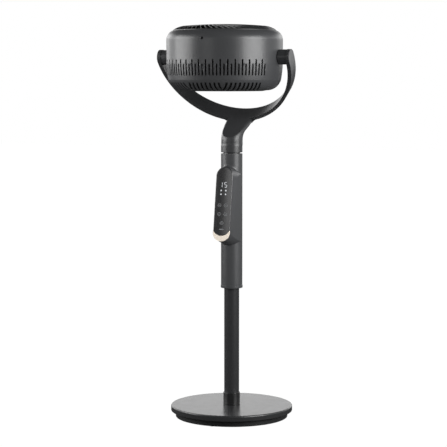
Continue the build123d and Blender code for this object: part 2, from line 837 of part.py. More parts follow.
def corner_slots():
    cutters = []
    depth = drum_bottom_radius + 10 - corner_slot_inner
    tall = corner_slot_top - rear_height + 10
    box = Box(corner_slot_width, depth, tall, align=(Align.CENTER, Align.MAX, Align.MAX))
    centre = [s * (k + 0.5) * corner_slot_pitch for k in range(corner_centre_count) for s in (-1, 1)]
    for turn in (0, 180):
        for angle in centre:
            x = drum_bottom_radius * math.sin(math.radians(angle))
            cutters.append(Rot(0, 0, turn) * Pos(x, -corner_slot_inner, corner_slot_top) * box)
        for side in (-1, 1):
            for k in range(corner_side_first, corner_side_last + 1):
                angle = (k + 0.5) * corner_slot_pitch - corner_side_angle
                x = drum_bottom_radius * math.sin(math.radians(side * angle))
                y = -corner_slot_inner * math.cos(math.radians(angle)) + 2
                slot = Pos(x, y, corner_slot_top) * box
                cutters.append(Rot(0, 0, turn + side * corner_side_angle) * slot)
    return Compound(children=cutters)


def intake_cutters():
    cutters = []
    for i in range(intake_rings):
        inner = intake_inner + i * intake_pitch
        cutters.append(ring(inner + intake_slot, inner, rear_height - 5, rear_height + 8))
    cut = joined(cutters)
    for i in range(intake_spokes):
        spoke = Rot(0, 0, 360 * i / intake_spokes) * Box(6, 100, 60, align=(Align.CENTER, Align.MAX, Align.CENTER))
        cut = cut - Pos(0, 0, rear_height) * spoke
    return cut


def make_rear_cover():
    cover = spun(rear_solid_face(0)) - Pos(0, 0, 0.0) * spun(rear_solid_face(drum_wall))
    cover = cover - corner_slots()
    cover = cover - intake_cutters()
    lip = ring(drum_bottom_radius - drum_wall - 0.3, drum_bottom_radius - 2 * drum_wall - 0.3,
               drum_parting - 4, drum_parting + 4)
    cover = cover + (lip & rod(drum_radius, drum_parting - 4, drum_parting + 4))
    cover = cover - Compound(children=[
        Rot(0, 0, a) * rod(6.3, drum_parting, drum_parting + 30, 0, -rear_post_circle()) for a in rear_post_angles])
    well_top = drum_parting - 5
    for angle in rear_post_angles:
        post = rod(6, rear_mid_height - 8, drum_parting, 0, -rear_post_circle()) & spun(rear_solid_face(0.5))
        cover = cover + Rot(0, 0, angle) * post
        cover = cover - Rot(0, 0, angle) * rod(screw_head + slip_gap, rear_height - 5, well_top, 0, -rear_post_circle())
        cover = cover - Rot(0, 0, angle) * rod(screw_shank + slip_gap, well_top - 1, drum_parting + 1, 0, -rear_post_circle())
    save("rear_cover", head(cover))
    screws = []
    for angle in rear_post_angles:
        pan = rod(screw_head, well_top - screw_head_height, well_top, 0, -rear_post_circle())
        shank = rod(screw_shank, well_top, drum_parting + 17, 0, -rear_post_circle())
        screws.append(Rot(0, 0, angle) * (pan + shank))
    save("rear_cover_screws", head(group(screws)))


def make_filter():
    # A foam basket that lies in the rear cover, behind the slots
    low = drum_wall
    outside = spun(rear_solid_face(low)) & rod(rear_filter_radius(), rear_height, drum_parting)
    outside = outside + rod(rear_filter_radius(), drum_parting, filter_top)
    inside = spun(rear_solid_face(low + filter_thick)) & rod(rear_filter_radius() - filter_thick, rear_height, drum_parting)
    inside = inside + rod(rear_filter_radius() - filter_thick, drum_parting - 1, filter_top + 1)
    basket = outside - inside
    for angle in rear_post_angles:
        basket = basket - Rot(0, 0, angle) * rod(filter_post_room, rear_height, drum_parting + 30, 0, -rear_post_circle())
    save("dust_filter", head(basket))


def rear_filter_radius():
    return drum_bottom_radius - 2 * drum_wall - 0.3 - filter_gap


def dome_face(drop):
    # A nearly flat crown that rounds down to the rim
    top = Vector(0, grille_dome_height - drop)
    crown = Vector(grille_crown_radius, grille_crown_edge - drop)
    rise = grille_dome_height - grille_crown_edge
    shallow = Vector(grille_crown_radius / 2, grille_crown_edge + 0.75 * rise - drop)
    edge = Vector(grille_edge, grille_edge_height - drop)
    corner = Vector((crown.X + edge.X) / 2, (crown.Y + edge.Y) / 2 + grille_edge_bulge)
    low = Vector(0, duct_top - 30)
    return make_face(ThreePointArc(top, shallow, crown) + ThreePointArc(crown, corner, edge)
                     + Polyline(edge, Vector(grille_edge, low.Y), low, top))


def dome_shell(depth):
    return spun(dome_face(0)) - spun(dome_face(depth))


def grille_blade():
    # One thin curved rib, drawn flat from the centre ring to the rim
    inner = grille_cap_radius - 1
    outer = grille_edge - 1
    turn = math.radians(grille_twist)
    end = Vector(outer * math.cos(turn), outer * math.sin(turn))
    mid_radius = (inner + outer) / 2
    mid = Vector(mid_radius * math.cos(turn * 0.38), mid_radius * math.sin(turn * 0.38))
    path = ThreePointArc(Vector(inner, 0), mid, end)
    return path


def make_grille():
    path = grille_blade()
    strip = offset(path, grille_rib_width / 2, kind=Kind.INTERSECTION, side=Side.BOTH)
    blade = extrude(make_face(strip), 60)
    blade = Pos(0, 0, duct_top - 30) * blade
    blade = blade & dome_shell(grille_depth)
    low = duct_top - 30
    blades = [Rot(0, 0, 360 * i / grille_ribs) * blade for i in range(grille_ribs)]
    rim = ring(grille_edge, grille_edge - grille_ring_width, low, low + 60) & dome_shell(grille_depth)
    middle = ring(grille_mid_ring, grille_mid_ring - grille_mid_width, low, low + 60) & dome_shell(grille_depth)
    hub = ring(grille_cap_radius, grille_cap_radius - 3, low, low + 60) & dome_shell(grille_depth)
    grille = rim.fuse(middle, hub, *blades)
    save("front_grille", head(grille))
    cap = rod(grille_cap_radius - 3, low, low + 60) & dome_shell(grille_cap_thick)
    save("grille_cap", head(cap))


def make_duct():
    middle = (duct_low + duct_top) / 2
    duct = ring(duct_radius + duct_wall, duct_radius, middle, rim_height) & spun(dome_face(grille_depth))
    duct = duct + ring(duct_radius + duct_wall, duct_radius, duct_low, middle + 5)
    flange = ring(drum_radius - drum_wall, duct_radius + 1, duct_flange_height, duct_flange_height + duct_wall)
    save("duct_ring", head(duct + flange))
    lock = Pos(0, -drum_radius + 7.5, lock_hole_height) * Rot(90, 0, 0) * Cylinder(2.4, 3)
    stem_end = drum_radius - duct_radius - duct_wall
    stem = Pos(0, -drum_radius + 7, lock_hole_height) * Rot(-90, 0, 0) * Cylinder(
        1.5, stem_end - 7, align=(Align.CENTER, Align.CENTER, Align.MIN))
    save("grille_lock_screw", head(lock + stem))

    plate_low = duct_low - spider_thick
    tube_outer = bearing_radius + bearing_tube_wall
    tube_top = impeller_hub_low + stator_height + 4
    mount = rod(impeller_hub_radius, plate_low, plate_low + 3) + rod(tube_outer, plate_low, tube_top)
    outer_ring = ring(duct_radius + duct_wall, duct_radius - 5, duct_low - spider_thick, duct_low)
    arm = Box(spider_arm_width, duct_radius - impeller_hub_radius + 4, spider_thick,
              align=(Align.CENTER, Align.MAX, Align.MAX))
    arms = [Rot(0, 0, 60 * i + 30) * Pos(0, -impeller_hub_radius + 3, duct_low) * arm for i in range(spider_arms)]
    mount = mount.fuse(outer_ring, *arms)
    mount = mount - rod(bearing_radius, plate_low - 1, tube_top + 1)
    mount = mount + ring(bearing_radius + 1, bearing_radius - 2, bearing_floor(), bearing_ceiling())
    save("motor_mount", head(mount))
    for name, low in (("rear_bearing", bearing_floor() - bearing_height), ("front_bearing", bearing_ceiling())):
        bearing = ring(bearing_radius, shaft_radius, low, low + bearing_height)
        bearing = bearing - ring(bearing_radius - 2.5, shaft_radius + 2, low + bearing_height - 0.6, low + 20)
        save(name, head(bearing))
    stator = ring(stator_radius, tube_outer, impeller_hub_low + 2, impeller_hub_low + 2 + stator_height)
    for i in range(stator_slots):
        slot = Pos(0, -stator_radius + 3, impeller_hub_low + 9) * Box(3.2, 9, stator_height + 4)
        stator = stator - Rot(0, 0, 360 * i / stator_slots) * slot
    save("motor_stator", head(stator))
    cover_low = plate_low - 16
    cover = rod(impeller_hub_radius, cover_low, plate_low)
    cover = fillet(cover.edges().group_by(Axis.Z)[0], 4)
    cover = cover - rod(impeller_hub_radius - 2, cover_low + 2, plate_low + 1)
    save("motor_cover", head(cover))
    board = ring(impeller_hub_radius - 2, bearing_radius + 1, plate_low - 3, plate_low - 1.4)
    spacer = ring(bearing_radius + 3, bearing_radius + 1, plate_low - 1.4, plate_low)
    save("driver_board", head(board + spacer))


def bearing_floor():
    return shaft_low + 2 + bearing_height


def bearing_ceiling():
    return impeller_hub_low + stator_height + 4 - bearing_height


def blade_section(radius, chord, thick, pitch_angle):
    plane = Plane(origin=(radius, 0, impeller_mid), x_dir=(0, 1, 0), z_dir=(1, 0, 0))
    face = Rot(0, 0, pitch_angle) * RectangleRounded(chord, thick, thick * 0.45)
    return plane * face


def make_impeller():
    root = blade_section(impeller_hub_radius - 1.5, blade_root_chord, blade_root_thick, blade_root_angle)
    tip = blade_section(blade_tip + 4, blade_tip_chord, blade_tip_thick, blade_tip_angle)
    blade = loft([root, tip]) & rod(blade_tip, -20, 90)
    blades = [Rot(0, 0, 360 * i / blade_count) * blade for i in range(blade_count)]
    hub = rod(impeller_hub_radius, impeller_hub_low, impeller_hub_top)
    hub = fillet(hub.edges().group_by(Axis.Z)[-1], 5)
    hub = hub.fuse(*blades)
    hub = hub - rod(impeller_hub_radius - impeller_hub_wall, impeller_hub_low - 20,
                    impeller_hub_top - impeller_hub_wall)
    hub = hub + rod(8, impeller_hub_top - 8, impeller_hub_top)
    hub = hub - rod(shaft_radius, 0, 80)
    save("impeller", head(hub))

    rotor_top = impeller_hub_top - 8
    rotor = rod(rotor_radius, impeller_hub_low + 1, rotor_top)
    rotor = rotor - rod(rotor_radius - rotor_wall, impeller_hub_low, rotor_top - 2)
    rotor = rotor - rod(shaft_radius, 0, 80)
    save("motor_rotor", head(rotor))
    magnets = ring(rotor_radius - rotor_wall, stator_radius + 0.5, impeller_hub_low + 2,
                   impeller_hub_low + 2 + stator_height)
    save("rotor_magnets", head(magnets))
    shaft = rod(shaft_radius, shaft_low, shaft_top)
    shaft = chamfer(shaft.edges().group_by(Axis.Z)[-1], 0.8)
    save("motor_shaft", head(shaft))
    nut = Pos(0, 0, impeller_hub_top) * extrude(RegularPolygon(nut_radius, 6), nut_height)
    nut = nut + rod(nut_radius - 0.8, impeller_hub_top + nut_height - 1, impeller_hub_top + nut_height + 3)
    nut = nut - rod(shaft_radius, 0, shaft_top)
    save("impeller_nut", head(nut))


def make_trunnions():
    for name, side in (("trunnion_left", -1), ("trunnion_right", 1)):
        inner = side * (boss_face - journal_flange_thick)
        reach = hub_start + hub_end_wall if side > 0 else yoke_inner_face
        flange = x_rod(journal_flange, inner, side * boss_face)
        journal = x_rod(journal_radius, inner, side * reach)
        trunnion = flange + journal
        bore_end = side * (reach + 1)
        bore = motor_shaft_radius if side > 0 else 4.0
        trunnion = trunnion - x_rod(bore, inner - side, bore_end)
        save(name, trunnion)
    shaft = x_rod(motor_shaft_radius, boss_face - journal_flange_thick, hub_start + hub_end_wall + 9)
    save("tilt_motor_shaft", shaft)


def main():
    os.makedirs("parts", exist_ok=True)
    make_base()
    make_pole()
    make_column()
    make_console()
    make_pan_drive()
    make_yoke()
    make_neck()
    make_trunnions()
    make_drum()
    make_rear_cover()
    make_filter()
    make_grille()
    make_duct()
    make_impeller()


main()
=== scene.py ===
import json
import math

import bmesh
import bpy
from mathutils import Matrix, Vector


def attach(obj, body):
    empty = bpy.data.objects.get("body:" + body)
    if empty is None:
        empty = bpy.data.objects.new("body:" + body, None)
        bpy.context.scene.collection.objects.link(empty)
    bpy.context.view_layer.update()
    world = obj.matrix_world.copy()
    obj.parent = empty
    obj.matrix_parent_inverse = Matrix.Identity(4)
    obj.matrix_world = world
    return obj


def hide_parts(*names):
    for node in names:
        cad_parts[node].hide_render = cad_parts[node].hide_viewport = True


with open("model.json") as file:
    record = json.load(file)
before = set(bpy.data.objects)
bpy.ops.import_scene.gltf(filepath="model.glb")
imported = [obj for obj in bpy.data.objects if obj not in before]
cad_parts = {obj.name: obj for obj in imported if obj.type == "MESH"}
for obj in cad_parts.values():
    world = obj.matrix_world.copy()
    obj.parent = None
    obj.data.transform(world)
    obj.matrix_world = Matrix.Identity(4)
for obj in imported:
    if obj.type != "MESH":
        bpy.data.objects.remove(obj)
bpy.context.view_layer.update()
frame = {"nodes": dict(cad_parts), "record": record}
nodes = frame["nodes"]
print("frame loaded:", len(nodes), "nodes")

tiltAxis = Vector((0.0, -0.046, 0.887))  # centre of the head, between the yoke's tips


def addNode(tree, kind, settings, values):
    # Settings first, then values: a socket is linked, anything else is its input's own value
    made = tree.nodes.new(kind)
    for key, value in settings.items():
        setattr(made, key, value)
    for key, value in values.items():
        value = getattr(value, "socket", value)
        if isinstance(value, bpy.types.NodeSocket):
            tree.links.new(value, made.inputs[key])
        else:
            made.inputs[key].default_value = value
    return made


# Shader maths


class Num:
    # A float or colour socket that builds Math nodes from Python operators

    def __init__(self, finish, socket):
        self.finish = finish
        self.socket = socket

    def math(self, operation, first, second=0.0):
        made = self.finish.node("ShaderNodeMath", {"operation": operation}, {0: first, 1: second})
        return Num(self.finish, made.outputs[0])

    def __add__(self, other):
        return self.math("ADD", self, other)

    def __radd__(self, other):
        return self.math("ADD", other, self)

    def __sub__(self, other):
        return self.math("SUBTRACT", self, other)

    def __mul__(self, other):
        return self.math("MULTIPLY", self, other)

    def above(self, other):
        return self.math("GREATER_THAN", self, other)

    def wave(self):
        return self.math("SINE", self)


class Finish:
    # One material: a Principled shader and the nodes that feed it

    def __init__(self, name):
        self.material = bpy.data.materials.new(name)
        self.material.use_nodes = True
        self.tree = self.material.node_tree
        self.tree.nodes.clear()
        self.shader = self.node("ShaderNodeBsdfPrincipled")
        self.output = self.node("ShaderNodeOutputMaterial", {}, {"Surface": self.shader.outputs[0]})
        self.place = self.node("ShaderNodeTexCoord").outputs["Object"]

    def node(self, kind, settings=None, values=None):
        return addNode(self.tree, kind, settings or {}, values or {})

    def set(self, **values):
        # Shader sockets, with underscores for the spaces in their names
        for key, value in values.items():
            socket = self.shader.inputs[key.replace("_", " ")]
            if isinstance(value, Num):
                value = value.socket
            if isinstance(value, bpy.types.NodeSocket):
                self.tree.links.new(value, socket)
            else:
                socket.default_value = value
        return self

    def noise(self, scale, detail=2.0, rough=0.5, stretch=None):
        place = self.place
        if stretch:
            place = self.node("ShaderNodeMapping", {}, {"Vector": place, "Scale": stretch}).outputs[0]
        made = self.node("ShaderNodeTexNoise", {}, {
            "Vector": place, "Scale": scale, "Detail": detail, "Roughness": rough})
        return Num(self, made.outputs["Fac"])

    def cells(self, scale):
        made = self.node("ShaderNodeTexVoronoi", {}, {"Vector": self.place, "Scale": scale})
        return Num(self, made.outputs["Distance"])

    def axis(self, name):
        parts = self.node("ShaderNodeSeparateXYZ", {}, {0: self.place})
        return Num(self, parts.outputs[name])

    def blend(self, factor, first, second):
        # Each colour is three numbers or another blend
        first, second = ((*c, 1.0) if isinstance(c, tuple) else c for c in (first, second))
        return self.node("ShaderNodeMix", {"data_type": "RGBA"}, {0: factor, 6: first, 7: second}).outputs[2]

    def rounded(self, radius):
        return self.node("ShaderNodeBevel", {"samples": 4}, {"Radius": radius}).outputs[0]

    def bump(self, height, depth, normal=None):
        values = {"Height": height, "Distance": depth, "Strength": 1.0}
        if normal is not None:
            values["Normal"] = normal
        return self.node("ShaderNodeBump", {}, values).outputs[0]


def shade(color, factor):
    return tuple(c * factor for c in color)


# Finishes: noise and cell values are scales per metre, depths and edges are metres

plastic = {
    "grain": 1500.0, "grainDepth": 0.00002, "patches": 9.0, "patch": 0.05, "wear": 60.0, "wearRough": 0.1,
}
metal = {
    "lines": 900.0, "stretch": (1, 1, 40), "patches": 25.0, "patch": 0.9, "rough": 0.22,
    "depth": 0.00001, "edge": 0.0003,
}
casting = {
    "lumps": 450.0, "patches": 30.0, "dark": 0.75, "light": 1.2, "rough": 0.2,
    "depth": 0.0002, "edge": 0.0006,
}
rubberLook = {
    "dust": 140.0, "dusty": 2.2, "rough": 0.78, "dustRough": 0.15, "grain": 1100.0,
    "depth": 0.00004, "edge": 0.0004,
}
glass = {
    "smears": 28.0, "stretch": (1, 1, 0.4), "light": 1.25, "rough": 0.2, "smearRough": 0.06,
    "specular": 1.0, "edge": 0.0005,
}
gilding = {
    "lines": 700.0, "stretch": (0.05, 1, 1), "dark": 0.93, "metallic": 0.1, "rough": 0.28, "lineRough": 0.16,
    "depth": 0.000006, "edge": 0.0004,
}
markLook = {"fade": 400.0, "lit": 0.9, "dim": (0.2, 0.28), "rough": 0.45, "glow": 0.38, "iconTop": 0.546}
board = {
    "tracks": 700.0, "trackEdge": 0.55, "patches": 90.0, "dark": 0.8, "light": 1.7,
    "rough": 0.35, "patchRough": 0.15, "depth": 0.00003,
}
winding = {
    "turns": 9000, "patches": 120.0, "dark": 0.7, "metallic": 0.9,
    "rough": 0.32, "patchRough": 0.1, "depth": 0.00008,
}
foam = {"pores": 900.0, "dark": 0.3, "light": 1.6, "rough": 0.95, "depth": 0.0006}
paint = {
    "peel": 520.0, "patches": 7.0, "patch": 0.05, "wear": 50.0, "wearRough": 0.06, "clear": 0.25, "clearRough": 0.2,
    "depth": 0.00001,
}


def mouldedPlastic(name, color, rough, edge=0.0006):
    f = Finish(name)
    patches = f.noise(plastic["patches"], 3)
    fine = f.noise(plastic["grain"], 2)
    worn = f.noise(plastic["wear"], 4)
    f.set(
        Base_Color=f.blend(patches, shade(color, 1 - plastic["patch"]), shade(color, 1 + plastic["patch"])),
        Roughness=rough + (worn - 0.5) * plastic["wearRough"],
        Normal=f.bump(fine, plastic["grainDepth"], f.rounded(edge)))
    return f.material


def brushedMetal(name, color, rough):
    f = Finish(name)
    lines = f.noise(metal["lines"], 3, 0.6, metal["stretch"])
    patches = f.noise(metal["patches"], 2)
    f.set(
        Base_Color=f.blend(patches, shade(color, metal["patch"]), color),
        Metallic=1.0,
        Roughness=rough + (lines - 0.5) * metal["rough"],
        Normal=f.bump(lines, metal["depth"], f.rounded(metal["edge"])))
    return f.material


def castMetal(name, color, rough, metallic):
    f = Finish(name)
    lumps = f.cells(casting["lumps"])
    patches = f.noise(casting["patches"], 4)
    f.set(
        Base_Color=f.blend(patches, shade(color, casting["dark"]), shade(color, casting["light"])),
        Metallic=metallic,
        Roughness=rough + (patches - 0.5) * casting["rough"],
        Normal=f.bump(lumps, casting["depth"], f.rounded(casting["edge"])))
    return f.material


def rubber(name, color):
    f = Finish(name)
    dust = f.noise(rubberLook["dust"], 4)
    grain = f.noise(rubberLook["grain"], 2)
    f.set(
        Base_Color=f.blend(dust, color, shade(color, rubberLook["dusty"])),
        Roughness=rubberLook["rough"] + (dust - 0.5) * rubberLook["dustRough"],
        Normal=f.bump(grain, rubberLook["depth"], f.rounded(rubberLook["edge"])))
    return f.material


def lensGlass(name, color):
    f = Finish(name)
    smears = f.noise(glass["smears"], 4, 0.6, glass["stretch"])
    f.set(
        Base_Color=f.blend(smears, color, shade(color, glass["light"])),
        Roughness=glass["rough"] + smears * glass["smearRough"],
        Specular_IOR_Level=glass["specular"],
        Normal=f.rounded(glass["edge"]))
    return f.material


def satinGold(name, color):
    f = Finish(name)
    lines = f.noise(gilding["lines"], 3, 0.6, gilding["stretch"])
    f.set(
        Base_Color=f.blend(lines, shade(color, gilding["dark"]), color),
        Metallic=gilding["metallic"],
        Roughness=gilding["rough"] + (lines - 0.5) * gilding["lineRough"],
        Normal=f.bump(lines, gilding["depth"], f.rounded(gilding["edge"])))
    return f.material


def litMark(name, color):
    # Digits and dots shine; the touch icons, which lie below iconTop, are dim
    f = Finish(name)
    shown = f.axis("Z").above(markLook["iconTop"])
    fade = f.noise(markLook["fade"], 1)
    lit = f.blend(fade, shade(color, markLook["lit"]), color)
    dim = f.blend(fade, *(shade(color, part) for part in markLook["dim"]))
    tint = f.blend(shown, dim, lit)
    f.set(Base_Color=tint, Roughness=markLook["rough"], Emission_Color=tint, Emission_Strength=markLook["glow"])
    return f.material


def circuitBoard(name, color):
    f = Finish(name)
    tracks = f.cells(board["tracks"]).above(board["trackEdge"])
    patches = f.noise(board["patches"], 3)
    ground = f.blend(patches, shade(color, board["dark"]), color)
    f.set(
        Base_Color=f.blend(tracks, ground, shade(color, board["light"])),
        Roughness=board["rough"] + patches * board["patchRough"],
        Normal=f.bump(tracks, board["depth"]))
    return f.material


def windingWire(name, color):
    f = Finish(name)
    turns = (f.axis("Z") * winding["turns"]).wave()
    patches = f.noise(winding["patches"], 2)
    f.set(
        Base_Color=f.blend(patches, shade(color, winding["dark"]), color),
        Metallic=winding["metallic"],
        Roughness=winding["rough"] + patches * winding["patchRough"],
        Normal=f.bump(turns, winding["depth"]))
    return f.material


def openFoam(name, color):
    f = Finish(name)
    pores = f.cells(foam["pores"])
    f.set(
        Base_Color=f.blend(pores, shade(color, foam["dark"]), shade(color, foam["light"])),
        Roughness=foam["rough"],
        Normal=f.bump(pores, foam["depth"]))
    return f.material


def satinPaint(name, color, rough, edge=0.001):
    # Paint on metal: a very fine orange peel under a thin clear film
    f = Finish(name)
    peel = f.noise(paint["peel"], 2)
    patches = f.noise(paint["patches"], 3)
    worn = f.noise(paint["wear"], 3)
    f.set(
        Base_Color=f.blend(patches, shade(color, 1 - paint["patch"]), shade(color, 1 + paint["patch"])),
        Roughness=rough + (worn - 0.5) * paint["wearRough"],
        Coat_Weight=paint["clear"],
        Coat_Roughness=paint["clearRough"],
        Normal=f.bump(peel, paint["depth"], f.rounded(edge)))
    return f.material


tones = {
    "charcoal": (0.050, 0.0515, 0.054),
    "drum": (0.044, 0.0452, 0.0475),
    "neck": (0.034, 0.035, 0.037),
    "pole": (0.026, 0.0265, 0.028),
    "base": (0.020, 0.0205, 0.0215),
    "plinth": (0.010, 0.0103, 0.011),
    "grille": (0.020, 0.0205, 0.0215),
    "gold": (0.95, 0.86, 0.74),
    "lens": (0.007, 0.0072, 0.008),
}

finishes = {
    "foot_rubber": rubber("footRubber", (0.012, 0.012, 0.012)),
    "plinth_plastic": mouldedPlastic("plinthPlastic", tones["plinth"], 0.45),
    "cast_weight": castMetal("castWeight", (0.09, 0.09, 0.092), 0.7, 0.6),
    "base_paint": satinPaint("basePaint", tones["base"], 0.33),
    "steel": brushedMetal("fastenerSteel", (0.56, 0.56, 0.57), 0.32),
    "motor_can": brushedMetal("motorCan", (0.45, 0.45, 0.46), 0.38),
    "pole_paint": satinPaint("polePaint", tones["pole"], 0.26, 0.0003),
    "collar_plastic": mouldedPlastic("collarPlastic", (0.012, 0.0124, 0.013), 0.3),
    "shell_plastic": mouldedPlastic("columnPlastic", tones["charcoal"], 0.36),
    "inlet_plastic": mouldedPlastic("inletPlastic", (0.01, 0.01, 0.011), 0.5),
    "lens_gloss": lensGlass("consoleLens", tones["lens"]),
    "accent_gold": satinGold("accentGold", tones["gold"]),
    "mark_light": litMark("markLight", (0.55, 0.57, 0.59)),
    "guide_white": mouldedPlastic("guideWhite", (0.75, 0.75, 0.72), 0.5, 0.0003),
    "board_green": circuitBoard("boardGreen", (0.02, 0.15, 0.07)),
    "acetal_white": mouldedPlastic("acetalWhite", (0.74, 0.73, 0.70), 0.35, 0.0003),
    "brass_gear": brushedMetal("pinionBrass", (0.72, 0.54, 0.26), 0.3),
    "neck_plastic": mouldedPlastic("neckPlastic", tones["neck"], 0.38, 0.0012),
    "drum_plastic": mouldedPlastic("drumPlastic", tones["drum"], 0.36),
    "grille_plastic": mouldedPlastic("grillePlastic", tones["grille"], 0.36, 0.0004),
    "cap_plastic": mouldedPlastic("capPlastic", (0.026, 0.0265, 0.028), 0.32),
    "duct_plastic": mouldedPlastic("ductPlastic", (0.014, 0.014, 0.015), 0.5),
    "cast_alloy": castMetal("castAlloy", (0.58, 0.58, 0.60), 0.45, 1.0),
    "copper_winding": windingWire("copperWinding", (0.78, 0.36, 0.18)),
    "rotor_steel": brushedMetal("rotorSteel", (0.38, 0.38, 0.39), 0.36),
    "magnet_dark": castMetal("magnetDark", (0.07, 0.07, 0.075), 0.5, 0.4),
    "impeller_plastic": mouldedPlastic("impellerPlastic", (0.022, 0.0225, 0.024), 0.3, 0.0004),
    "filter_foam": openFoam("filterFoam", (0.006, 0.006, 0.0065)),
}

for part in frame["record"]["subparts"]:
    mesh = nodes[part["node"]].data
    mesh.materials.clear()
    mesh.materials.append(finishes[part["material_slot"]])
print("finishes:", len(finishes))


# Geometry Nodes


class Build:
    # A node group with named inputs, laid on an object and then turned into a plain mesh

    def __init__(self, name, sizes):
        self.tree = bpy.data.node_groups.new(name, "GeometryNodeTree")
        self.tree.interface.new_socket("Geometry", in_out="OUTPUT", socket_type="NodeSocketGeometry")
        self.tree.interface.new_socket("Geometry", in_out="INPUT", socket_type="NodeSocketGeometry")
        self.sizes = sizes
        self.keys = {}
        for key, value in sizes.items():
            if isinstance(value, bpy.types.Object):
                kind = "NodeSocketObject"
            elif isinstance(value, bpy.types.Material):
                kind = "NodeSocketMaterial"
            elif isinstance(value, int):
                kind = "NodeSocketInt"
            elif isinstance(value, (tuple, Vector)):
                kind = "NodeSocketVector"
            else:
                kind = "NodeSocketFloat"
            self.keys[key] = self.tree.interface.new_socket(key, in_out="INPUT", socket_type=kind).identifier
        self.given = self.tree.nodes.new("NodeGroupInput")
        self.result = self.tree.nodes.new("NodeGroupOutput")

    def size(self, key):
        return self.given.outputs[key]

    def node(self, kind, settings=None, values=None):
        return addNode(self.tree, kind, settings or {}, values or {})

    def math(self, operation, first, second=0.0):
        return self.node("ShaderNodeMath", {"operation": operation}, {0: first, 1: second}).outputs[0]

    def vector(self, x, y, z):
        return self.node("ShaderNodeCombineXYZ", {}, {0: x, 1: y, 2: z}).outputs[0]

    def joined(self, *parts):
        made = self.tree.nodes.new("GeometryNodeJoinGeometry")
        for part in parts:
            self.tree.links.new(part, made.inputs[0])
        return made.outputs[0]

    def spots(self, count, radius, turn):
        # Points at the angles that turn gives, on a circle about Z
        place = self.vector(
            self.math("MULTIPLY", radius, self.math("COSINE", turn)),
            self.math("MULTIPLY", radius, self.math("SINE", turn)), 0.0)
        return self.node("GeometryNodePoints", {}, {"Count": count, "Position": place}).outputs[0]

    def index(self):
        return self.node("GeometryNodeInputIndex").outputs[0]

    def shape(self, key):
        return self.node("GeometryNodeObjectInfo", {}, {"Object": self.size(key)}).outputs["Geometry"]

    def copies(self, points, instance, turn=0.0):
        return self.node("GeometryNodeInstanceOnPoints", {}, {
            "Points": points, "Instance": instance, "Rotation": self.vector(0.0, 0.0, turn)}).outputs[0]

    def moved(self, geometry, offset):
        return self.node("GeometryNodeTransform", {}, {"Geometry": geometry, "Translation": offset}).outputs[0]

    def make(self, name, geometry):
        real = self.node("GeometryNodeRealizeInstances", {}, {0: geometry}).outputs[0]
        coated = self.node("GeometryNodeSetMaterial", {}, {0: real, "Material": self.size("Material")}).outputs[0]
        self.tree.links.new(coated, self.result.inputs[0])
        holder = bpy.data.objects.new(name, bpy.data.meshes.new(name + "Start"))
        bpy.context.scene.collection.objects.link(holder)
        modifier = holder.modifiers.new("build", "NODES")
        modifier.node_group = self.tree
        for key, value in self.sizes.items():
            modifier[self.keys[key]] = value  # by the socket's identifier
        bpy.context.view_layer.update()
        shown = holder.evaluated_get(bpy.context.evaluated_depsgraph_get())
        mesh = bpy.data.meshes.new_from_object(shown)
        holder.modifiers.remove(modifier)
        holder.data = mesh
        mesh.name = name
        if not mesh.materials:
            mesh.materials.append(self.sizes["Material"])
        return holder


def smooth(piece, angle):
    piece.data.polygons.foreach_set("use_smooth", [True] * len(piece.data.polygons))
    piece.data.set_sharp_from_angle(angle=math.radians(angle))


def meshObject(name, build, material):
    # build fills a bmesh; the finished mesh is closed and faces outwards
    work = bmesh.new()
    build(work)
    bmesh.ops.remove_doubles(work, verts=work.verts, dist=1e-7)
    bmesh.ops.recalc_face_normals(work, faces=work.faces)
    mesh = bpy.data.meshes.new(name)
    work.to_mesh(mesh)
    work.free()
    if material:
        mesh.materials.append(material)
    piece = bpy.data.objects.new(name, mesh)
    bpy.context.scene.collection.objects.link(piece)
    return piece


def lathe(work, profile, steps):
    # Closed solid of revolution about Z from (radius, height) points that start and end on the axis
    turns = [2 * math.pi * i / steps for i in range(steps)]
    rings = []
    for radius, height in profile:
        around = turns if radius else [0.0]
        rings.append([work.verts.new((radius * math.cos(t), radius * math.sin(t), height)) for t in around])
    for low, high in zip(rings, rings[1:]):
        for i in range(steps):
            j = (i + 1) % steps
            if len(low) == 1:
                work.faces.new((low[0], high[i], high[j]))
            elif len(high) == 1:
                work.faces.new((low[i], low[j], high[0]))
            else:
                work.faces.new((low[i], low[j], high[j], high[i]))


# Front grille: spiral ribs on a dome, three rings

grille = {
    "Ribs": 54,
    "Inner Radius": 0.0322,
    "Outer Radius": 0.1224,
    "Twist": math.radians(26),
    "Twist Power": 1.4,
    "Rib Width": 0.0021,
    "Rib Depth": 0.0088,
    "Rib Points": 18,
    "Rounding": 0.42,
    "Dome Top": 0.079,
    "Crown Radius": 0.102,
    "Crown Drop": 0.0046,
    "Edge Width": 0.0219,
    "Edge Slope": 0.0043,
    "Edge Bend": 0.0052,
    "Centre": tiltAxis,
    "Rim Inset": 0.0004,
    "Rim Width": 0.0036,
    "Middle Radius": 0.077,
    "Middle Width": 0.0024,
    "Inner Width": 0.003,
    "Ring Points": 128,
    "Material": finishes["grille_plastic"],
}


